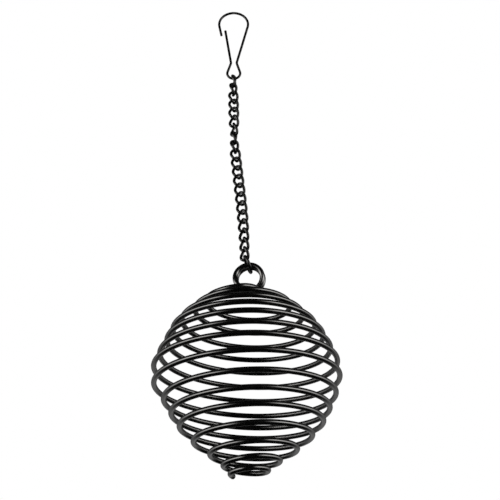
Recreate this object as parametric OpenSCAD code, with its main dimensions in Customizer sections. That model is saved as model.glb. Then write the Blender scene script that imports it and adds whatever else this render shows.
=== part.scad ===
// Hanging hay ball: a spring-wire spiral with an eye, on a twisted chain with a snap hook.
// Millimetres, +Z up. The origin is the inside of the hook's top bend, where it bears on its rail.
// Every piece is bent round wire, so each is drawn as one tube of circular arcs.

/* [Ball] */
// Diameter over the widest turn
ball_d = 100; // [60:1:160]
// Diameter of the coated spring wire
ball_wire = 2.7; // [1.6:0.1:2.9]
// Tilt of the turns, right side down
coil_tilt = 2.6; // [0:0.1:5]
// How far past the left side the cut lower end goes round
tail_past = 30; // [0:5:80]

/* [Eye] */
// Diameter of the eye along the wire's centre
eye_d = 14.8; // [12:0.1:20]
// Height of the eye's centre over the widest turn
eye_rise = 58.2; // [50:0.1:90]
// Side shift of the eye's centre from the ball's axis
eye_shift = 3.3; // [-4:0.1:4]
// Distance between the eye's two turns
eye_pitch = 3.4; // [3.4:0.1:4]
// Turn of the eye about the vertical
eye_turn = 10; // [0:1:30]

/* [Chain] */
// Number of twisted links
links = 21; // [5:1:40]
// Diameter of the link wire
link_wire = 1.6; // [1:0.05:1.6]
// Width over a link
link_w = 6.8; // [6.6:0.1:8]
// Distance from one link to the next
link_pitch = 5.95; // [5.6:0.05:8]
// Turn of a link's ends out of its middle plane
link_twist = 46; // [40:1:50]
// Clear gap between wires that hang in each other
link_gap = 0.35; // [0.2:0.05:0.4]
// Diameter over the plain ring at the chain's lower end
ring_d = 11.3; // [11:0.1:14]
// Tilt of the ring from plumb
ring_tilt = 20; // [0:1:25]

/* [Hook] */
// Lean of the hook on its rail
hook_lean = 2.2; // [0:0.1:5]
// Diameter of the hook's spring wire
hook_wire = 1.3; // [1:0.05:1.6]
// Width over the top bend
hook_w = 19.7; // [14:0.1:24]
// Straight nose below the top bend
nose_len = 7.5; // [4:0.5:10]
// Inward slope of the nose
nose_slope = 11; // [0:1:20]
// Inward slope of the back leg
leg_slope = 13.5; // [10:0.5:16]
// Straight length of the back leg
leg_len = 28.6; // [20:0.1:34]
// Bend radius of the neck along the wire's centre
neck_r = 2.5; // [2:0.1:4]
// Straight wire between the neck and the lower loop
neck_len = 6.5; // [4:0.1:10]
// Slope of the wire between the neck and the lower loop
loop_slope = 17; // [10:1:25]
// Radius of the lower loop along the wire's centre
loop_r = 4; // [3:0.1:6]
// Straight length of the gate arm
gate_len = 25.4; // [16:0.1:30]
// Outward slope of the gate arm
gate_slope = 8.6; // [4:0.1:12]
// Room for the gate arm to turn at its root
gate_gap = 0.25; // [0.2:0.05:0.5]

/* [Hidden] */
// One row for each measured turn, from the lower end: turn, radius, height and shift to the right,
// the last three in percent of ball_d
winding = [
    [0, 8.5, -50, -1.5], [1, 11.7, -45.9, -1.5], [2, 19.1, -40.5, -0.5], [3, 28, -34.3, 0],
    [4, 35.3, -26.6, 0], [5, 40.1, -19.9, 0.5], [6, 43.3, -12.8, 0], [7, 48.3, -4.5, -0.5],
    [8, 49.2, 4.9, 0], [9, 46.6, 12, 0.5], [10, 42.8, 19.7, 0.5], [11, 39.7, 26.2, 0.5],
    [12, 35, 31.9, 0.5], [13, 27.9, 38.5, 0.5], [14.1, 21.2, 44.2, 0.5]
];
// The half-turn at which the pull-down tail ends, and the last half-turn of the spiral
tail_stop = 3;
last_stop = 29;
// Turn of the links about the chain, and slope of the chain, by link
turn_by_link = [[1, 93], [3, 25], [5, 8], [10, -164], [17, -196], [20, -224], [21, -229]];
slope_by_link = [[1, -4], [3, -0.7], [8, -0.7], [10, 4], [15, 4], [21, -1]];

hook_r = (hook_w - hook_wire) / 2;
ring_r = (ring_d - link_wire) / 2;
link_half_w = (link_w - link_wire) / 2;
link_half_h = (link_pitch + link_gap + link_wire) / 2;
link_names = [for (i = [1:links]) str("chain_link_", i < 10 ? "0" : "", i)];

// Black coating on every wire
coat = "#1c1c1e";
// Facets of a wire and of a bend, and the collars at the joints
wire_sides = 24;
bend_steps = 72;
joint_gap = 0.02;
joint_over = 1.02;

// A stop is a point on a wire and the direction in which the wire passes it
function unit(v) = v / norm(v);
function stop(point, heading) = [point, unit(heading)];

// Two arcs join one stop to the next, and they meet here
function meeting(a, b) =
    let (span = b[0] - a[0], both = a[1] + b[1], bend = 2 * (1 - a[1] * b[1]), along = span * both)
    let (reach = bend > 0.000001
        ? (sqrt(along * along + bend * (span * span)) - along) / bend
        : span * span / (4 * (span * b[1])))
    (a[0] + b[0] + reach * (a[1] - b[1])) / 2;

// The parts of an arc that leaves a point along a heading and reaches another point
function inward(from, heading, to) = unit((to - from) - ((to - from) * heading) * heading);
function arc_r(from, side, to) = (to - from) * (to - from) / (2 * (side * (to - from)));
function arc_turn(from, heading, side, to) = 2 * atan2(side * (to - from), heading * (to - from));

// Points along an arc, for measuring
function arc_points(from, heading, to, n) =
    let (side = inward(from, heading, to), r = arc_r(from, side, to))
    let (turn = arc_turn(from, heading, side, to))
    [for (k = [0:n - 1]) let (a = turn * k / n) from + r * (1 - cos(a)) * side + r * sin(a) * heading];

// The heading with which such an arc arrives
function arrival(from, heading, to) =
    let (w = unit(to - from)) 2 * (w * heading) * w - heading;

// Stands its children on a point, upright along a heading
module along(point, heading) {
    side = unit(cross(heading, abs(heading.z) < 0.9 ? [0, 0, 1] : [1, 0, 0]));
    up = cross(heading, side);
    multmatrix([
        [side.x, up.x, heading.x, point.x],
        [side.y, up.y, heading.y, point.y],
        [side.z, up.z, heading.z, point.z]
    ])
        children();
}

// One bend of a wire, or a straight where the heading leads right to the other point
module wire_arc(from, heading, to, d) {
    off_line = norm(cross(to - from, heading));
    if (off_line < 0.0001) {
        along(from, heading)
            translate([0, 0, joint_gap])
                cylinder(d = d, h = norm(to - from) - 2 * joint_gap, $fn = wire_sides);
    } else {
        side = inward(from, heading, to);
        r = arc_r(from, side, to);
        centre = from + r * side;
        axle = cross(-side, heading);
        trim = joint_gap / r * 180 / PI;
        multmatrix([
            [-side.x, heading.x, axle.x, centre.x],
            [-side.y, heading.y, axle.y, centre.y],
            [-side.z, heading.z, axle.z, centre.z]
        ])
            rotate([0, 0, trim])
                rotate_extrude(angle = arc_turn(from, heading, side, to) - 2 * trim, $fn = bend_steps)
                    translate([r, 0])
                        circle(d = d, $fn = wire_sides);
    }
}

// A collar a hair over the wire, which covers the joint of two arcs so that they are one solid
module joint(point, heading, d) {
    along(point, heading)
        cylinder(d = joint_over * d, h = 6 * joint_gap, center = true, $fn = wire_sides);
}

// A wire through a list of stops, closed where the last stop is the first
module wire(stops, d) {
    last = len(stops) - 1;
    closed = norm(stops[0][0] - stops[last][0]) < 0.001;
    for (k = [0:last - 1]) {
        a = stops[k];
        b = stops[k + 1];
        if (norm(arrival(a[0], a[1], b[0]) - b[1]) < 0.0001) {
            wire_arc(a[0], a[1], b[0], d);
        } else {
            m = meeting(a, b);
            wire_arc(a[0], a[1], m, d);
            wire_arc(b[0], -b[1], m, d);
            joint(m, arrival(a[0], a[1], m), d);
        }
        if (k > 0 || closed) joint(a[0], a[1], d);
    }
}

// The hook lies in the XZ plane: each move is a straight, then a bend of some radius and turn
function flat(a) = [cos(a), 0, sin(a)];
function walk(p, a, moves, k = 0) = k == len(moves) ? [stop(p, flat(a))] :
    let (straight = moves[k][0], r = moves[k][1], turn = moves[k][2])
    let (bend_from = p + straight * flat(a))
    let (s = sign(turn), centre = bend_from + s * r * flat(a + 90))
    let (bend_to = centre - s * r * flat(a + turn + 90))
    concat([stop(p, flat(a)), stop(bend_from, flat(a))], walk(bend_to, a + turn, moves, k + 1));

nose_way = 90 + nose_slope - hook_lean;
top_bend = (hook_wire / 2 - hook_r) * flat(90 - hook_lean);
nose_from = top_bend + hook_r * flat(nose_way + 90) - nose_len * flat(nose_way);
hook_moves = [
    [nose_len, hook_r, -(180 + nose_slope + leg_slope)],
    [leg_len, neck_r, leg_slope + loop_slope],
    [neck_len, loop_r, -(180 + 2 * loop_slope)],
    [neck_len, neck_r, loop_slope + gate_slope]
];
hook_stops = walk(nose_from, nose_way, hook_moves);
gate_root = hook_stops[len(hook_stops) - 1][0];
gate_way = flat(90 + gate_slope - hook_lean);
loop_centre = hook_stops[5][0] - loop_r * flat(loop_slope - hook_lean);
loop_low = loop_centre - [0, 0, loop_r];

// The chain hangs in the lower loop
function down(slope) = [sin(slope), 0, -cos(slope)];
function link_slope(i) = lookup(i, slope_by_link);
function link_at(i) = i == 1
    ? loop_low + [0, 0, (hook_wire + link_wire) / 2 + link_gap] + link_half_h * down(link_slope(1))
    : link_at(i - 1) + link_pitch / 2 * (down(link_slope(i - 1)) + down(link_slope(i)));

side_slope = atan(link_half_w * link_twist * PI / 180 / link_half_h);
link_stops = [
    stop([0, 0, link_half_h], [cos(link_twist), -sin(link_twist), 0]),
    stop([link_half_w, 0, 0], [0, sin(side_slope), -cos(side_slope)]),
    stop([0, 0, -link_half_h], [-cos(link_twist), -sin(link_twist), 0]),
    stop([-link_half_w, 0, 0], [0, sin(side_slope), cos(side_slope)]),
    stop([0, 0, link_half_h], [cos(link_twist), -sin(link_twist), 0])
];

// The ring hangs in the last link, and the eye's two turns lie side by side in the ring, with more room
chain_low = link_at(links) + link_half_h * down(link_slope(links));
ring_top = chain_low - (link_wire + link_gap) * down(link_slope(links));
ring_at = ring_top + ring_r * down(ring_tilt);
eye_reach = ring_r - link_wire / 2 - ball_wire / 2 - 1.7 * link_gap;
eye_top = ring_at + sqrt(eye_reach * eye_reach - eye_pitch * eye_pitch / 4) * down(ring_tilt);
eye_at = eye_top - [0, 0, eye_d / 2];
ball_at = eye_at - [eye_shift, 0, eye_rise];

// The spiral passes each side of the ball once a turn, along Y: odd stops left, even stops right
function turn_at(k) = (180 * k - 180 + tail_past) / 360;
function row(t, column) = ball_d / 100 * lookup(t, [for (w = winding) [w[0], w[column]]]);
function axis_at(t) = ball_at + [row(t, 3), 0, row(t, 2)];
function tilted(x, y) = [x * cos(coil_tilt), y, -x * sin(coil_tilt)];
function spiral_stop(k) =
    let (side = k % 2 == 0 ? 1 : -1, t = turn_at(k))
    stop(axis_at(t) + tilted(side * row(t, 1), 0), tilted(0, side));
cut_end = stop(
    axis_at(0) + row(0, 1) * tilted(cos(180 - tail_past), sin(180 - tail_past)),
    tilted(-sin(180 - tail_past), cos(180 - tail_past))
);
tail_stops = concat([cut_end], [for (k = [1:tail_stop]) spiral_stop(k)]);

// The eye winds about Y, half a turn to each stop, from its lowest point
function about_eye(v) =
    let (c = cos(eye_turn), s = sin(eye_turn))
    [v.x * c + v.y * s, v.y * c - v.x * s, v.z];
function eye_stop(a) = stop(
    eye_at + about_eye([-eye_d / 2 * sin(a), eye_pitch * (a / 360 - 1), -eye_d / 2 * cos(a)]),
    about_eye([-cos(a), 0, sin(a)])
);
eye_from = eye_stop(0)[0];
spiral_end = spiral_stop(last_stop)[0];

// The wire winds in from the last turn to the eye in three shrinking quarter turns
in_2 = (eye_from.x - spiral_end.x + eye_from.y) / 2;
in_3 = ball_wire * 1.5;
in_1 = in_2 + in_3 - eye_from.y;
arm_rise = eye_from.z - spiral_end.z;
arm_stops = [
    stop(spiral_end + [in_1, -in_1, arm_rise * 0.15], [1, 0, 0.1]),
    stop(spiral_end + [in_1 + in_2, in_2 - in_1, arm_rise * 0.6], [0, 1, 0.25])
];
coil_stops = concat(
    [for (k = [tail_stop:last_stop]) spiral_stop(k)],
    arm_stops,
    [for (a = [0, 180, 360, 540, 680]) eye_stop(a)]
);

// The least gap of the whole spring wire to itself, from points along it
whole_wire = concat([for (k = [0:tail_stop - 1]) tail_stops[k]], coil_stops);
wire_points = [
    for (k = [0:len(whole_wire) - 2])
        let (a = whole_wire[k], b = whole_wire[k + 1], m = meeting(a, b))
        let (back = arc_points(b[0], -b[1], m, 6))
        each concat(arc_points(a[0], a[1], m, 6), [m], [for (j = [5:-1:1]) back[j]])
];
function least_gap() = min([
    for (i = [0:len(wire_points) - 1])
        for (j = [i + 20:1:len(wire_points) - 1])
            norm(wire_points[i] - wire_points[j])
]) - ball_wire;

// The bent wire of the hook: nose, top bend, back leg, neck and lower loop
module hook_frame() {
    color(coat)
        wire(hook_stops, hook_wire);
}

// The free arm of the same wire, which springs in to let a rail past the nose
module hook_gate() {
    color(coat)
        wire_arc(gate_root + gate_gap * gate_way, gate_way, gate_root + gate_len * gate_way, hook_wire);
}

// A twisted link: two ends that lie across each other, joined by bowed sides
module chain_link(i) {
    color(coat)
        translate(link_at(i))
            rotate([0, -link_slope(i), 0])
                rotate([0, 0, lookup(i, turn_by_link)])
                    wire(link_stops, link_wire);
}

// The plain ring that carries the eye
module end_ring() {
    color(coat)
        translate(ring_at)
            rotate([0, 90 - ring_tilt, 0])
                rotate_extrude($fn = bend_steps)
                    translate([ring_r, 0])
                        circle(d = link_wire, $fn = wire_sides);
}

// The spiral and its double eye, one unbroken wire
module ball_coil() {
    color(coat)
        wire(coil_stops, ball_wire);
}

// The lowest turn of the same wire, pulled down to spread the spiral
module coil_tail() {
    color(coat)
        wire(tail_stops, ball_wire);
}

echo(least_gap_of_spring_wire = least_gap());  // ball_coil

hook_frame();
hook_gate();
for (i = [1:links])
    chain_link(i);
end_ring();
ball_coil();
coil_tail();
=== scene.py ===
import math
import bpy
from mathutils import Matrix, Vector


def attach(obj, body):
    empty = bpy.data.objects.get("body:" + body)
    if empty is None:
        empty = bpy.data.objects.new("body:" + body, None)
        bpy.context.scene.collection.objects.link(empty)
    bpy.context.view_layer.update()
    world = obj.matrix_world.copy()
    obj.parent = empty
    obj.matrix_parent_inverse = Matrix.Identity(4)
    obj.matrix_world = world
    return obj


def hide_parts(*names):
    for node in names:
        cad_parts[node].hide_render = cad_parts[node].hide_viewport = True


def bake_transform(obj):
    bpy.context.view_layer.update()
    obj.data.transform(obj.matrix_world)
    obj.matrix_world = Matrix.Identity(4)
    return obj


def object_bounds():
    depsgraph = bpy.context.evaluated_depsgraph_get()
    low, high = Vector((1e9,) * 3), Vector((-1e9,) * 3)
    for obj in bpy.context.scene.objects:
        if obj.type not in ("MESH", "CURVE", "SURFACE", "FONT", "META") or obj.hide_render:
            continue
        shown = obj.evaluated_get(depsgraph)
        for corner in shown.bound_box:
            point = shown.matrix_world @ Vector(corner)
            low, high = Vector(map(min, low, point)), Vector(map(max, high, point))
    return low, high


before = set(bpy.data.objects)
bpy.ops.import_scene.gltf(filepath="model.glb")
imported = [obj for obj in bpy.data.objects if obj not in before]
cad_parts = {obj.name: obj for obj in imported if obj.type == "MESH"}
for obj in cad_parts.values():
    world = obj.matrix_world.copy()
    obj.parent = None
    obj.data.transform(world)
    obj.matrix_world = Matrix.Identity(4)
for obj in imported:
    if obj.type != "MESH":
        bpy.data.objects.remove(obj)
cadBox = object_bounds()
mm = 0.001
tiny = 1e-6
scene = bpy.context.scene
print("frame loaded:", len(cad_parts), "nodes")


# Wire paths: a stop is a point and the heading in which the wire passes it

def stop(point, heading):
    return Vector(point), Vector(heading).normalized()


def meetingPoint(a, b):  # where the two arcs from one stop to the next meet
    span = b[0] - a[0]
    along = span.dot(a[1] + b[1])
    bend = 2 * (1 - a[1].dot(b[1]))
    if bend > tiny:
        reach = (math.sqrt(along * along + bend * span.dot(span)) - along) / bend
    else:
        reach = span.dot(span) / (4 * span.dot(b[1]))
    return (a[0] + b[0] + reach * (a[1] - b[1])) / 2


def arcPoints(start, heading, end, step):  # from start up to, but without, end
    chord = end - start
    side = chord - chord.dot(heading) * heading
    if side.length < tiny:
        count = max(2, round(chord.length / step))
        return [start + chord * (k / count) for k in range(count)]
    side.normalize()
    radius = chord.dot(chord) / (2 * side.dot(chord))
    turn = 2 * math.atan2(side.dot(chord), heading.dot(chord))
    count = max(2, round(radius * turn / step))
    angles = [turn * k / count for k in range(count)]
    return [start + radius * ((1 - math.cos(a)) * side + math.sin(a) * heading) for a in angles]


def wirePath(stops, step):
    points = []
    for a, b in zip(stops, stops[1:]):
        meet = meetingPoint(a, b)
        back = arcPoints(b[0], -b[1], meet, step)
        points += arcPoints(a[0], a[1], meet, step) + [meet] + back[:0:-1]
    return points + [stops[-1][0]]


def closeTips(points, tip):  # more points near both cut ends, so that their edges are round
    rows = 6
    clear = 1.2 * tip  # no other points this near
    near = [tip * (1 - math.cos(math.radians(90 / rows * k))) for k in range(1, rows + 1)]
    first = (points[1] - points[0]).normalized()
    last = (points[-2] - points[-1]).normalized()
    head = [points[0] + first * d for d in near]
    tail = [points[-1] + last * d for d in reversed(near)]
    middle = [p for p in points if min((p - points[0]).length, (p - points[-1]).length) > clear]
    return [points[0]] + head + middle + tail + [points[-1]]


def between(table, x, column=1):  # straight lines between the rows of a table
    if x <= table[0][0]:
        return table[0][column]
    for low, high in zip(table, table[1:]):
        if x <= high[0]:
            share = (x - low[0]) / (high[0] - low[0])
            return low[column] + share * (high[column] - low[column])
    return table[-1][column]


def flat(degrees):  # a direction in the XZ plane, from +X up
    a = math.radians(degrees)
    return Vector((math.cos(a), 0, math.sin(a)))


def down(degrees):  # downwards, sloping towards +X
    return flat(degrees - 90)


# Geometry Nodes: a coated wire along a path, and a link that is hung in its place

def node(tree, kind, **settings):
    made = tree.nodes.new(kind)
    for name, value in settings.items():
        setattr(made, name, value)
    return made


def math2(tree, operation, a, b=None):  # a math node whose inputs are sockets or numbers
    made = node(tree, "ShaderNodeMath", operation=operation)
    for socket, value in zip(made.inputs, (a, b)):
        if isinstance(value, bpy.types.NodeSocket):
            tree.links.new(value, socket)
        elif value is not None:
            socket.default_value = value
    return made.outputs[0]


def ramp(tree, value, edge, low, high, kind="SMOOTHSTEP"):  # low before the edge, high behind it
    made = node(tree, "ShaderNodeMapRange", interpolation_type=kind)
    tree.links.new(value, made.inputs["Value"])
    for name, number in zip(("From Min", "From Max", "To Min", "To Max"), (*edge, low, high)):
        made.inputs[name].default_value = number
    return made.outputs["Result"]


def newTree(name, inputs):
    tree = bpy.data.node_groups.new(name, "GeometryNodeTree")
    tree.interface.new_socket(name="Geometry", in_out="INPUT", socket_type="NodeSocketGeometry")
    for label, kind, value in inputs:
        item = tree.interface.new_socket(name=label, in_out="INPUT", socket_type="NodeSocket" + kind)
        if value is not None:
            item.default_value = value
    tree.interface.new_socket(name="Geometry", in_out="OUTPUT", socket_type="NodeSocketGeometry")
    return tree, node(tree, "NodeGroupInput"), node(tree, "NodeGroupOutput")


def endTree(tree, given, result, geometry):  # real geometry, in its coating
    real = node(tree, "GeometryNodeRealizeInstances")
    tree.links.new(geometry, real.inputs["Geometry"])
    paint = node(tree, "GeometryNodeSetMaterial")
    tree.links.new(real.outputs["Geometry"], paint.inputs["Geometry"])
    tree.links.new(given.outputs["Coating"], paint.inputs["Material"])
    tree.links.new(paint.outputs["Geometry"], result.inputs["Geometry"])


wireInputs = [
    ("Diameter", "Float", 2 * mm),
    ("Sides", "Int", 20),
    ("Cut Round", "Float", 0.3 * mm),  # length over which a cut edge is round
    ("Cut Face", "Float", 0.7),  # share of the wire that stays at the cut
    ("Blob", "Float", 0.0),  # thicker coating at the cut, as a share
    ("Blob Length", "Float", 1 * mm),
    ("Run On", "Vector", (0, 0, 0)),  # X or Y of 1 where the wire's start or end runs on, uncut
    ("Coating", "Material", None),
]


def buildWireTree():
    tree, given, result = newTree("coatedWire", wireInputs)
    link = tree.links.new
    curve = node(tree, "GeometryNodeMeshToCurve")
    link(given.outputs["Geometry"], curve.inputs["Mesh"])
    along = node(tree, "GeometryNodeSplineParameter").outputs["Length"]
    whole = node(tree, "GeometryNodeSplineLength").outputs["Length"]
    runOn = node(tree, "ShaderNodeSeparateXYZ")
    link(given.outputs["Run On"], runOn.inputs[0])
    fromStart = math2(tree, "ADD", along, runOn.outputs["X"])
    fromEnd = math2(tree, "ADD", math2(tree, "SUBTRACT", whole, along), runOn.outputs["Y"])
    tip = math2(tree, "MINIMUM", fromStart, fromEnd)
    # the edge of the cut is a quarter round down to the flat face
    reach = math2(tree, "MINIMUM", math2(tree, "DIVIDE", tip, given.outputs["Cut Round"]), 1.0)
    back = math2(tree, "SUBTRACT", 1.0, reach)
    bulge = math2(tree, "SQRT", math2(tree, "SUBTRACT", 1.0, math2(tree, "MULTIPLY", back, back)))
    edge = math2(tree, "SUBTRACT", 1.0, given.outputs["Cut Face"])
    face = math2(tree, "ADD", given.outputs["Cut Face"], math2(tree, "MULTIPLY", edge, bulge))
    swell = node(tree, "ShaderNodeMapRange", interpolation_type="SMOOTHSTEP")
    link(tip, swell.inputs["Value"])
    link(given.outputs["Blob Length"], swell.inputs["From Max"])
    link(given.outputs["Blob"], swell.inputs["To Min"])
    swell.inputs["To Max"].default_value = 0.0
    scale = math2(tree, "MULTIPLY", face, math2(tree, "ADD", swell.outputs["Result"], 1.0))
    keep = node(tree, "GeometryNodeStoreNamedAttribute", data_type="FLOAT", domain="POINT")
    keep.inputs["Name"].default_value = "along"  # metres along the wire
    link(curve.outputs["Curve"], keep.inputs["Geometry"])
    link(along, keep.inputs["Value"])
    ring = node(tree, "GeometryNodeCurvePrimitiveCircle")
    link(given.outputs["Sides"], ring.inputs["Resolution"])
    link(math2(tree, "DIVIDE", given.outputs["Diameter"], 2.0), ring.inputs["Radius"])
    tube = node(tree, "GeometryNodeCurveToMesh")
    tube.inputs["Fill Caps"].default_value = True
    link(keep.outputs["Geometry"], tube.inputs["Curve"])
    link(ring.outputs["Curve"], tube.inputs["Profile Curve"])
    link(scale, tube.inputs["Scale"])
    corners = node(tree, "GeometryNodeInputMeshFaceNeighbors").outputs["Vertex Count"]
    sideCorners = 4
    smooth = node(tree, "GeometryNodeSetShadeSmooth")  # the cut faces, with more corners, stay flat
    link(tube.outputs["Mesh"], smooth.inputs["Geometry"])
    link(math2(tree, "LESS_THAN", corners, sideCorners + 0.5), smooth.inputs["Selection"])
    endTree(tree, given, result, smooth.outputs["Geometry"])
    return tree


hangInputs = [
    ("Turn", "Float", 0.0),  # radians about the link's own length
    ("Slope", "Float", 0.0),  # radians from plumb, towards +X
    ("Place", "Vector", (0, 0, 0)),
]


def buildHungTree(wireTree):  # the same wire, turned, sloped and moved
    tree, given, result = newTree("hungLink", wireInputs + hangInputs)
    link = tree.links.new
    wire = node(tree, "GeometryNodeGroup", node_tree=wireTree)
    for name in ["Geometry"] + [label for label, _, _ in wireInputs]:
        link(given.outputs[name], wire.inputs[name])
    turn = node(tree, "ShaderNodeCombineXYZ")
    link(given.outputs["Turn"], turn.inputs["Z"])
    slope = node(tree, "ShaderNodeCombineXYZ")
    link(math2(tree, "MULTIPLY", given.outputs["Slope"], -1.0), slope.inputs["Y"])
    spin = node(tree, "GeometryNodeTransform")
    link(wire.outputs["Geometry"], spin.inputs["Geometry"])
    link(turn.outputs[0], spin.inputs["Rotation"])
    place = node(tree, "GeometryNodeTransform")
    link(spin.outputs["Geometry"], place.inputs["Geometry"])
    link(slope.outputs[0], place.inputs["Rotation"])
    link(given.outputs["Place"], place.inputs["Translation"])
    endTree(tree, given, result, place.outputs["Geometry"])
    return tree


def wearAt(mesh, rubs, reach):  # 1 where another wire rubs, falling to 0 over a distance
    rub = mesh.attributes.new("wear", "FLOAT", "POINT")
    values = []
    for vertex in mesh.vertices:
        near = min(((vertex.co - place).length for place in rubs), default=reach)
        share = max(0.0, 1 - near / reach)
        values.append(share * share * (3 - 2 * share))
    rub.data.foreach_set("value", values)


def makeWire(name, points, tree, values, closed=False, rubs=(), reach=1 * mm):
    edges = [(k, k + 1) for k in range(len(points) - 1)]
    if closed:
        edges.append((len(points) - 1, 0))
    path = bpy.data.meshes.new(name + "Path")
    path.from_pydata([p[:] for p in points], edges, [])
    guide = bpy.data.objects.new(name + "Path", path)
    scene.collection.objects.link(guide)
    modifier = guide.modifiers.new("wire", "NODES")
    modifier.node_group = tree
    for item in tree.interface.items_tree:
        if item.in_out == "INPUT" and item.name in values:
            modifier[item.identifier] = values[item.name]
    graph = bpy.context.evaluated_depsgraph_get()
    mesh = bpy.data.meshes.new_from_object(guide.evaluated_get(graph))
    bpy.data.objects.remove(guide)
    bpy.data.meshes.remove(path)
    mesh.name = name
    wearAt(mesh, rubs, reach)
    piece = bpy.data.objects.new(name, mesh)
    scene.collection.objects.link(piece)
    return piece


# Coatings: a black film with clouds, orange peel and dust, rubbed to the steel where wires meet

grain = {  # where each noise sets in and is full, the same for every coating
    "cloudEdge": (0.3, 0.7), "dustEdge": (0.62, 0.75), "rubEdge": (0.35, 0.65),
    "cloudDetail": 3, "fineDetail": 2, "dustMatt": (-0.01, 0.02), "rubPolish": 0.1,
}


def coating(name, look):
    made = bpy.data.materials.new(name)
    made.use_nodes = True
    tree = made.node_tree
    link = tree.links.new
    shader = tree.nodes["Principled BSDF"]
    place = node(tree, "ShaderNodeTexCoord").outputs["Object"]

    def noise(scale, detail):
        speckle = node(tree, "ShaderNodeTexNoise", noise_dimensions="3D")
        speckle.inputs["Scale"].default_value = scale
        speckle.inputs["Detail"].default_value = detail
        link(place, speckle.inputs["Vector"])
        return speckle.outputs["Fac"]

    def spread(value, edge, low, high):
        return ramp(tree, value, grain[edge], low, high, "LINEAR")

    def mixed(share, a, b):
        mix = node(tree, "ShaderNodeMix", data_type="RGBA")
        link(share, mix.inputs["Factor"])
        for socket, value in zip((mix.inputs[6], mix.inputs[7]), (a, b)):
            if isinstance(value, bpy.types.NodeSocket):
                link(value, socket)
            else:
                socket.default_value = (*value, 1)
        return mix.outputs[2]

    cloud = noise(look["cloudScale"], grain["cloudDetail"])
    peel = noise(look["peelScale"], grain["fineDetail"])
    dust = noise(look["dustScale"], grain["fineDetail"])
    worn = node(tree, "ShaderNodeAttribute", attribute_name="wear").outputs["Fac"]
    rubbed = math2(tree, "MULTIPLY", worn, spread(dust, "rubEdge", 0, look["wear"]))
    film = mixed(spread(cloud, "cloudEdge", 0, 1), look["dark"], look["light"])
    dusty = mixed(spread(dust, "dustEdge", 0, look["dust"]), film, look["dustColour"])
    link(mixed(rubbed, dusty, look["steel"]), shader.inputs["Base Color"])
    link(rubbed, shader.inputs["Metallic"])
    clouded = spread(cloud, "cloudEdge", *look["rough"])
    matt = math2(tree, "ADD", clouded, spread(dust, "cloudEdge", *grain["dustMatt"]))
    polish = math2(tree, "MULTIPLY", rubbed, grain["rubPolish"])
    link(math2(tree, "SUBTRACT", matt, polish), shader.inputs["Roughness"])
    shader.inputs["Specular IOR Level"].default_value = look["specular"]
    shader.inputs["Specular Tint"].default_value = (*look["tint"], 1)
    bump = node(tree, "ShaderNodeBump")
    bump.inputs["Strength"].default_value = look["peel"]
    bump.inputs["Distance"].default_value = look["peelHeight"]
    link(peel, bump.inputs["Height"])
    link(bump.outputs["Normal"], shader.inputs["Normal"])
    return made


coilLook = {
    "dark": (0.001, 0.001, 0.001), "light": (0.0025, 0.0025, 0.0024), "rough": (0.15, 0.2),
    "specular": 1.0, "tint": (1.0, 0.985, 0.95), "cloudScale": 60, "peelScale": 700, "dustScale": 420,
    "peel": 0.03, "peelHeight": 0.04 * mm, "dust": 0.05, "dustColour": (0.06, 0.06, 0.055),
    "wear": 0.35, "steel": (0.32, 0.31, 0.30),
}
chainLook = {
    "dark": (0.0015, 0.0015, 0.0015), "light": (0.004, 0.004, 0.0039), "rough": (0.13, 0.19),
    "specular": 0.33, "tint": (1.0, 0.985, 0.95), "cloudScale": 140, "peelScale": 1600, "dustScale": 900,
    "peel": 0.03, "peelHeight": 0.03 * mm, "dust": 0.05, "dustColour": (0.06, 0.06, 0.055),
    "wear": 0.5, "steel": (0.30, 0.29, 0.28),
}
hookLook = {
    "dark": (0.0015, 0.0015, 0.0015), "light": (0.004, 0.004, 0.004), "rough": (0.15, 0.22),
    "specular": 0.28, "tint": (1.0, 0.985, 0.95), "cloudScale": 110, "peelScale": 1600, "dustScale": 800,
    "peel": 0.03, "peelHeight": 0.03 * mm, "dust": 0.04, "dustColour": (0.06, 0.06, 0.055),
    "wear": 0.4, "steel": (0.30, 0.29, 0.28),
}
coilCoat = coating("satinBlackCoil", coilLook)
chainCoat = coating("glossBlackChain", chainLook)
hookCoat = coating("blackHookWire", hookLook)
wireTree = buildWireTree()
hungTree = buildHungTree(wireTree)
print("wire trees and coatings built")


# Hook: one bent wire, with the gate arm as its springy end

hook = {
    "wire": 1.3 * mm, "lacquer": 0.2 * mm, "width": 19.7 * mm, "lean": 2.2, "noseLength": 7.5 * mm,
    "noseSlope": 11, "legSlope": 13.5, "legLength": 28.6 * mm, "neckRadius": 2.5 * mm,
    "neckLength": 6.5 * mm, "loopSlope": 17, "loopRadius": 4 * mm, "gateLength": 25.4 * mm, "gateSlope": 8.6,
    "flexLength": 14 * mm, "noseRound": 0.2 * mm, "noseFace": 0.75, "tipFace": 0.2, "tipBlob": 0.14,
    "tipBlobLength": 2 * mm, "rubReach": 2.2 * mm, "step": 0.35 * mm, "sides": 22,
}
hookRadius = (hook["width"] - hook["wire"]) / 2
noseWay = 90 + hook["noseSlope"] - hook["lean"]
topBend = (hook["wire"] / 2 - hookRadius) * flat(90 - hook["lean"])
hookMoves = [  # each a straight, then a bend of some radius and turn
    (hook["noseLength"], hookRadius, -(180 + hook["noseSlope"] + hook["legSlope"])),
    (hook["legLength"], hook["neckRadius"], hook["legSlope"] + hook["loopSlope"]),
    (hook["neckLength"], hook["loopRadius"], -(180 + 2 * hook["loopSlope"])),
    (hook["neckLength"], hook["neckRadius"], hook["loopSlope"] + hook["gateSlope"]),
]


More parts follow.
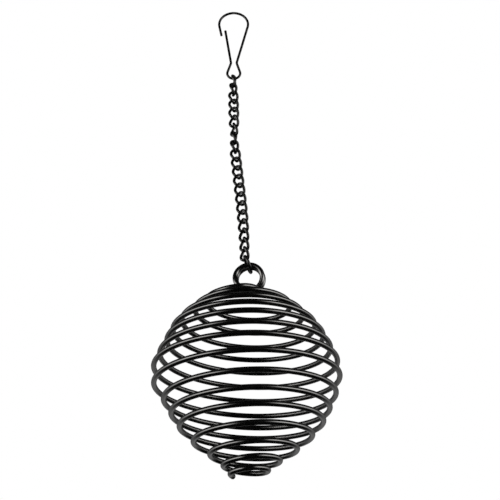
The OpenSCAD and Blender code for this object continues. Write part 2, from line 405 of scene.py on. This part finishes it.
def bentWire(place, way, moves):
    stops = []
    for straight, radius, turn in moves:
        bendFrom = place + straight * flat(way)
        hand = math.copysign(1, turn)
        centre = bendFrom + hand * radius * flat(way + 90)
        stops += [stop(place, flat(way)), stop(bendFrom, flat(way))]
        way += turn
        place = centre - hand * radius * flat(way + 90)
    return stops + [stop(place, flat(way))]


def hookPieces():
    noseFrom = topBend + hookRadius * flat(noseWay + 90) - hook["noseLength"] * flat(noseWay)
    stops = bentWire(noseFrom, noseWay, hookMoves)
    gateRoot, gateWay = stops[-1]
    loopFrom = stops[5][0]  # where the third bend starts
    loopCentre = loopFrom - hook["loopRadius"] * flat(hook["loopSlope"] - hook["lean"])
    loopLow = loopCentre - Vector((0, 0, hook["loopRadius"]))
    values = {"Diameter": hook["wire"] + hook["lacquer"], "Sides": hook["sides"], "Coating": hookCoat}
    noseCut = {"Cut Round": hook["noseRound"], "Cut Face": hook["noseFace"], "Run On": (0, 1, 0)}
    tipBead = {
        "Cut Round": hook["wire"] / 2, "Cut Face": hook["tipFace"], "Blob": hook["tipBlob"],
        "Blob Length": hook["tipBlobLength"], "Run On": (1, 0, 0),
    }
    rubs = (loopLow + Vector((0, 0, hook["wire"] / 2)), Vector((0, 0, 0)))  # the first link, and the bar
    points = closeTips(wirePath(stops, hook["step"]), hook["noseRound"])
    frameWire = makeWire("HookWire", points, wireTree, values | noseCut, rubs=rubs, reach=hook["rubReach"])
    gateTip = gateRoot + hook["gateLength"] * gateWay
    arm = closeTips(arcPoints(gateRoot, gateWay, gateTip, hook["step"]) + [gateTip], hook["wire"] / 2)
    gate = makeWire("GateArm", arm, wireTree, values | tipBead)
    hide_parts("hook_frame")
    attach(frameWire, "hook")
    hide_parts("hook_gate")
    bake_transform(gate)
    return loopLow


loopLow = hookPieces()
print("hook bent")


# Chain: twisted links, each hung in the one above, and the plain ring at the end

chain = {
    "links": 21, "wire": 1.6 * mm, "lacquer": 0.08 * mm, "width": 6.8 * mm, "pitch": 5.95 * mm,
    "twist": 46, "gap": 0.35 * mm, "seam": 0.12 * mm, "seamFace": 0.9, "rubReach": 1.1 * mm,
    # link, then degrees about its own length, or from plumb towards +X
    "turns": [(1, 93), (3, 25), (5, 8), (10, -164), (17, -196), (20, -224), (21, -229)],
    "slopes": [(1, -4), (3, -0.7), (8, -0.7), (10, 4), (15, 4), (21, -1)],
    "ringWidth": 11.3 * mm, "ringTilt": 20, "ringRubReach": 1.6 * mm, "step": 0.22 * mm, "sides": 20,
}
chainWire = {
    "Diameter": chain["wire"] + chain["lacquer"], "Sides": chain["sides"], "Coating": chainCoat,
    "Cut Round": chain["seam"], "Cut Face": chain["seamFace"],
}
halfWidth = (chain["width"] - chain["wire"]) / 2
halfHeight = (chain["pitch"] + chain["gap"] + chain["wire"]) / 2
ringRadius = (chain["ringWidth"] - chain["wire"]) / 2


def linkPath():  # starts in the middle of a side, where the wire's ends meet
    twist = math.radians(chain["twist"])
    lean = math.atan(halfWidth * twist / halfHeight)
    across, aside = math.cos(twist), math.sin(twist)
    right = stop((halfWidth, 0, 0), (0, math.sin(lean), -math.cos(lean)))
    low = stop((0, 0, -halfHeight), (-across, -aside, 0))
    left = stop((-halfWidth, 0, 0), (0, math.sin(lean), math.cos(lean)))
    high = stop((0, 0, halfHeight), (across, -aside, 0))
    return wirePath([right, low, left, high, right], chain["step"])[:-1]


def linkCentres():
    at = loopLow + Vector((0, 0, (hook["wire"] + chain["wire"]) / 2 + chain["gap"]))
    centres = [at + halfHeight * down(between(chain["slopes"], 1))]
    for i in range(2, chain["links"] + 1):
        way = down(between(chain["slopes"], i - 1)) + down(between(chain["slopes"], i))
        centres.append(centres[-1] + chain["pitch"] / 2 * way)
    return centres


def chainPieces():
    path = linkPath()
    centres = linkCentres()
    for i, centre in enumerate(centres, 1):
        slope = between(chain["slopes"], i)
        turn = math.radians(between(chain["turns"], i))
        hung = chainWire | {"Turn": turn, "Slope": math.radians(slope), "Place": centre}
        rubs = [centre + side * (halfHeight - chain["wire"] / 2) * down(slope) for side in (-1, 1)]
        link = makeWire(f"Link{i:02d}", path, hungTree, hung, True, rubs, chain["rubReach"])
        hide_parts(f"chain_link_{i:02d}")
        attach(link, f"link_{i:02d}")
    return centres[-1] + halfHeight * down(between(chain["slopes"], chain["links"]))


def ringPiece(chainLow):
    fall = down(chain["ringTilt"])
    top = chainLow - (chain["wire"] + chain["gap"]) * down(between(chain["slopes"], chain["links"]))
    centre = top + ringRadius * fall
    count = round(2 * math.pi * ringRadius / chain["step"])
    path = []
    for k in range(count):  # the wire's ends meet at the back
        a = 2 * math.pi * k / count
        path.append(centre + ringRadius * (math.sin(a) * fall + math.cos(a) * Vector((0, 1, 0))))
    inside = ringRadius - chain["wire"] / 2
    rubs = [centre - inside * fall, centre + inside * fall]
    ring = makeWire("EndRing", path, wireTree, chainWire, True, rubs, chain["ringRubReach"])
    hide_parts("end_ring")
    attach(ring, "ring")
    return centre, fall


ringCentre, ringFall = ringPiece(chainPieces())
print("chain hung:", chain["links"], "links")


# Ball: one spring wire, from the cut lower end up the spiral and into the double eye

ball = {
    "wire": 2.7 * mm, "lacquer": 0.2 * mm, "width": 100 * mm, "tilt": 2.6, "tailPast": 30,
    "eyeWidth": 14.8 * mm, "eyeRise": 58.2 * mm, "eyeShift": 3.3 * mm, "eyePitch": 3.4 * mm, "eyeTurn": 10,
    "eyeStops": (0, 180, 360, 540, 680), "eyeRoom": 1.7, "lastStop": 29,  # room in the chain's gaps
    "armOut": 1.5, "armRise": (0.15, 0.6), "armClimb": (0.1, 0.25),  # wires out; shares of the rise; slopes
    "cutRound": 0.35 * mm, "cutFace": 0.78, "rubReach": 3.2 * mm, "stretch": (14, 1.08),  # turns
    "step": 1.1 * mm, "sides": 24,
    # turn from the lower end, then radius, height and shift to the right in percent of the width
    "winding": [
        (0, 8.5, -50, -1.5), (1, 11.7, -45.9, -1.5), (2, 19.1, -40.5, -0.5), (3, 28, -34.3, 0),
        (4, 35.3, -26.6, 0), (5, 40.1, -19.9, 0.5), (6, 43.3, -12.8, 0), (7, 48.3, -4.5, -0.5),
        (8, 49.2, 4.9, 0), (9, 46.6, 12, 0.5), (10, 42.8, 19.7, 0.5), (11, 39.7, 26.2, 0.5),
        (12, 35, 31.9, 0.5), (13, 27.9, 38.5, 0.5), (14.1, 21.2, 44.2, 0.5),
    ],
}
eyeRadius = ball["eyeWidth"] / 2


def ballPlaces():
    reach = ringRadius - chain["wire"] / 2 - ball["wire"] / 2 - ball["eyeRoom"] * chain["gap"]
    drop = math.sqrt(reach ** 2 - ball["eyePitch"] ** 2 / 4)
    eyeTop = ringCentre + drop * ringFall
    eyeCentre = eyeTop - Vector((0, 0, eyeRadius))
    return eyeTop, eyeCentre, eyeCentre - Vector((ball["eyeShift"], 0, ball["eyeRise"]))


eyeTop, eyeCentre, ballCentre = ballPlaces()


def winding(turn, column):
    return ball["width"] / 100 * between(ball["winding"], turn, column)


def axisAt(turn):
    return ballCentre + Vector((winding(turn, 3), 0, winding(turn, 2)))


def tilted(x, y):
    return Matrix.Rotation(math.radians(ball["tilt"]), 3, "Y") @ Vector((x, y, 0))


def spiralStop(k):  # odd stops are on the left, even ones on the right
    side = 1 if k % 2 == 0 else -1
    turn = (180 * k - 180 + ball["tailPast"]) / 360
    return stop(axisAt(turn) + tilted(side * winding(turn, 1), 0), (0, side, 0))


def aboutEye(x, y, z):
    return Matrix.Rotation(-math.radians(ball["eyeTurn"]), 3, "Z") @ Vector((x, y, z))


def eyeStop(degrees):
    a = math.radians(degrees)
    shift = ball["eyePitch"] * (degrees / 360 - 1)
    place = aboutEye(-eyeRadius * math.sin(a), shift, -eyeRadius * math.cos(a))
    return stop(eyeCentre + place, aboutEye(-math.cos(a), 0, math.sin(a)))


def ballStops():
    a = math.radians(180 - ball["tailPast"])
    tail = axisAt(0) + winding(0, 1) * tilted(math.cos(a), math.sin(a))
    cutEnd = stop(tail, tilted(-math.sin(a), math.cos(a)))
    spiral = [spiralStop(k) for k in range(1, ball["lastStop"] + 1)]
    eye = [eyeStop(degrees) for degrees in ball["eyeStops"]]
    fromEnd, toEye = spiral[-1][0], eye[0][0]
    second = (toEye.x - fromEnd.x + toEye.y) / 2  # three shrinking quarter turns lead in to the eye
    first = second + ball["wire"] * ball["armOut"] - toEye.y
    low, high = [share * (toEye.z - fromEnd.z) for share in ball["armRise"]]
    arm = [
        stop(fromEnd + Vector((first, -first, low)), (1, 0, ball["armClimb"][0])),
        stop(fromEnd + Vector((first + second, second - first, high)), (0, 1, ball["armClimb"][1])),
    ]
    return [cutEnd] + spiral + arm + eye


def ballPiece():
    values = {
        "Diameter": ball["wire"] + ball["lacquer"], "Sides": ball["sides"], "Coating": coilCoat,
        "Cut Round": ball["cutRound"], "Cut Face": ball["cutFace"],
    }
    points = closeTips(wirePath(ballStops(), ball["step"]), ball["cutRound"])
    rub = eyeTop - Vector((0, 0, ball["wire"] / 2))
    spring = makeWire("SpringBall", points, wireTree, values, rubs=(rub,), reach=ball["rubReach"])
    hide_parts("ball_coil", "coil_tail")
    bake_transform(spring)


ballPiece()
print("ball wound")


# Stage, light and camera

stage = {
    "floorBelow": 0.62, "floorSize": 16.0, "floorColour": (0.86, 0.86, 0.86), "floorRough": 0.9,
    "floorFade": (1.3, 5.0),  # metres from the middle over which the floor turns white
    "fill": 0.95, "dark": 0.004,
    "stripLight": 6.6, "stripUp": (0.08, 0.4), "stripFront": (-0.92, -0.66), "stripBack": (-0.75, 0.95),
    "sweepLight": (0.4, 0.14), "backEdge": (0.4, 0.95), "lowEdge": (-0.6, -0.3), "highEdge": (-0.25, 0.1),
    "topSize": 0.8, "topPower": 0.8, "topSpread": 70, "topPlace": (0.0, -0.1, 1.2),
}
view = {"lens": 66.6, "sensor": 36, "pitch": 26.41, "lean": 2.2, "offset": (1.5, -465.4, -155.3)}


def buildFloor():
    half = stage["floorSize"] / 2
    height = cadBox[0][2] - stage["floorBelow"]
    mesh = bpy.data.meshes.new("Floor")
    corners = [(-half, -half, height), (half, -half, height), (half, half, height), (-half, half, height)]
    mesh.from_pydata(corners, [], [(0, 1, 2, 3)])
    floor = bpy.data.objects.new("Floor", mesh)
    scene.collection.objects.link(floor)
    paint = bpy.data.materials.new("paleFloor")
    paint.use_nodes = True
    tree = paint.node_tree
    matt = tree.nodes["Principled BSDF"]
    matt.inputs["Base Color"].default_value = (*stage["floorColour"], 1)
    matt.inputs["Roughness"].default_value = stage["floorRough"]
    away = node(tree, "ShaderNodeVectorMath", operation="LENGTH")
    tree.links.new(node(tree, "ShaderNodeTexCoord").outputs["Object"], away.inputs[0])
    fade = ramp(tree, away.outputs["Value"], stage["floorFade"], 0, 1)
    seen = math2(tree, "MULTIPLY", fade, node(tree, "ShaderNodeLightPath").outputs["Is Camera Ray"])
    white = node(tree, "ShaderNodeEmission")
    white.inputs["Color"].default_value = (1, 1, 1, 1)
    mix = node(tree, "ShaderNodeMixShader")
    tree.links.new(seen, mix.inputs[0])
    tree.links.new(matt.outputs[0], mix.inputs[1])
    tree.links.new(white.outputs[0], mix.inputs[2])
    tree.links.new(mix.outputs[0], tree.nodes["Material Output"].inputs["Surface"])
    mesh.materials.append(paint)
    floor.visible_glossy = False  # the wires mirror the room below it instead


def buildWorld():  # white to the camera; the wires mirror a dim room with a strip on each side
    world = bpy.data.worlds.new("studio")
    scene.world = world
    world.use_nodes = True
    tree = world.node_tree
    background = tree.nodes["Background"]
    background.inputs["Color"].default_value = (1, 1, 1, 1)
    rays = node(tree, "ShaderNodeLightPath").outputs
    way = node(tree, "ShaderNodeSeparateXYZ")
    tree.links.new(node(tree, "ShaderNodeTexCoord").outputs["Generated"], way.inputs[0])
    away, up = way.outputs["Y"], way.outputs["Z"]

    def edge(value, name, low=0, high=1):
        return ramp(tree, value, stage[name], low, high)

    middle, reach = stage["stripUp"]
    fromMiddle = math2(tree, "ABSOLUTE", math2(tree, "SUBTRACT", up, middle))
    strip = math2(tree, "MULTIPLY", edge(away, "stripFront"), ramp(tree, fromMiddle, (0, reach), 1, 0))
    strip = math2(tree, "MULTIPLY", strip, edge(away, "stripBack", stage["stripLight"], 0))
    sweep = math2(tree, "MULTIPLY", edge(away, "backEdge"), edge(up, "lowEdge"))
    sweep = math2(tree, "MULTIPLY", sweep, edge(up, "highEdge", *stage["sweepLight"]))
    lit = math2(tree, "ADD", math2(tree, "ADD", sweep, stage["dark"]), strip)
    glossy = rays["Is Glossy Ray"]
    soft = math2(tree, "MULTIPLY", math2(tree, "SUBTRACT", 1.0, glossy), stage["fill"])
    around = math2(tree, "ADD", math2(tree, "MULTIPLY", glossy, lit), soft)
    seen = math2(tree, "MAXIMUM", rays["Is Camera Ray"], rays["Is Transmission Ray"])
    tree.links.new(math2(tree, "MAXIMUM", seen, around), background.inputs["Strength"])


def buildLight():
    light = bpy.data.lights.new("TopBox", "AREA")
    light.size = stage["topSize"]
    light.energy = stage["topPower"]
    light.spread = math.radians(stage["topSpread"])
    lamp = bpy.data.objects.new("TopBox", light)
    lamp.location = ballCentre + Vector(stage["topPlace"])
    lamp.rotation_euler = (ballCentre - lamp.location).to_track_quat("-Z", "Y").to_euler()
    lamp.visible_glossy = False  # no second line on the wires
    scene.collection.objects.link(lamp)


def buildCamera():
    data = bpy.data.cameras.new("Camera")
    data.sensor_width = view["sensor"]
    data.lens = view["lens"]
    camera = bpy.data.objects.new("Camera", data)
    lean = Matrix.Rotation(math.radians(view["lean"]), 4, "Y")
    aim = lean @ Matrix.Rotation(math.radians(90 + view["pitch"]), 4, "X")
    place = ballCentre + lean @ (Vector(view["offset"]) * mm)
    camera.matrix_world = Matrix.Translation(place) @ aim
    scene.collection.objects.link(camera)
    scene.camera = camera


scene.view_settings.view_transform = "Standard"
buildFloor()
buildWorld()
buildLight()
buildCamera()
print("stage, light and camera set")
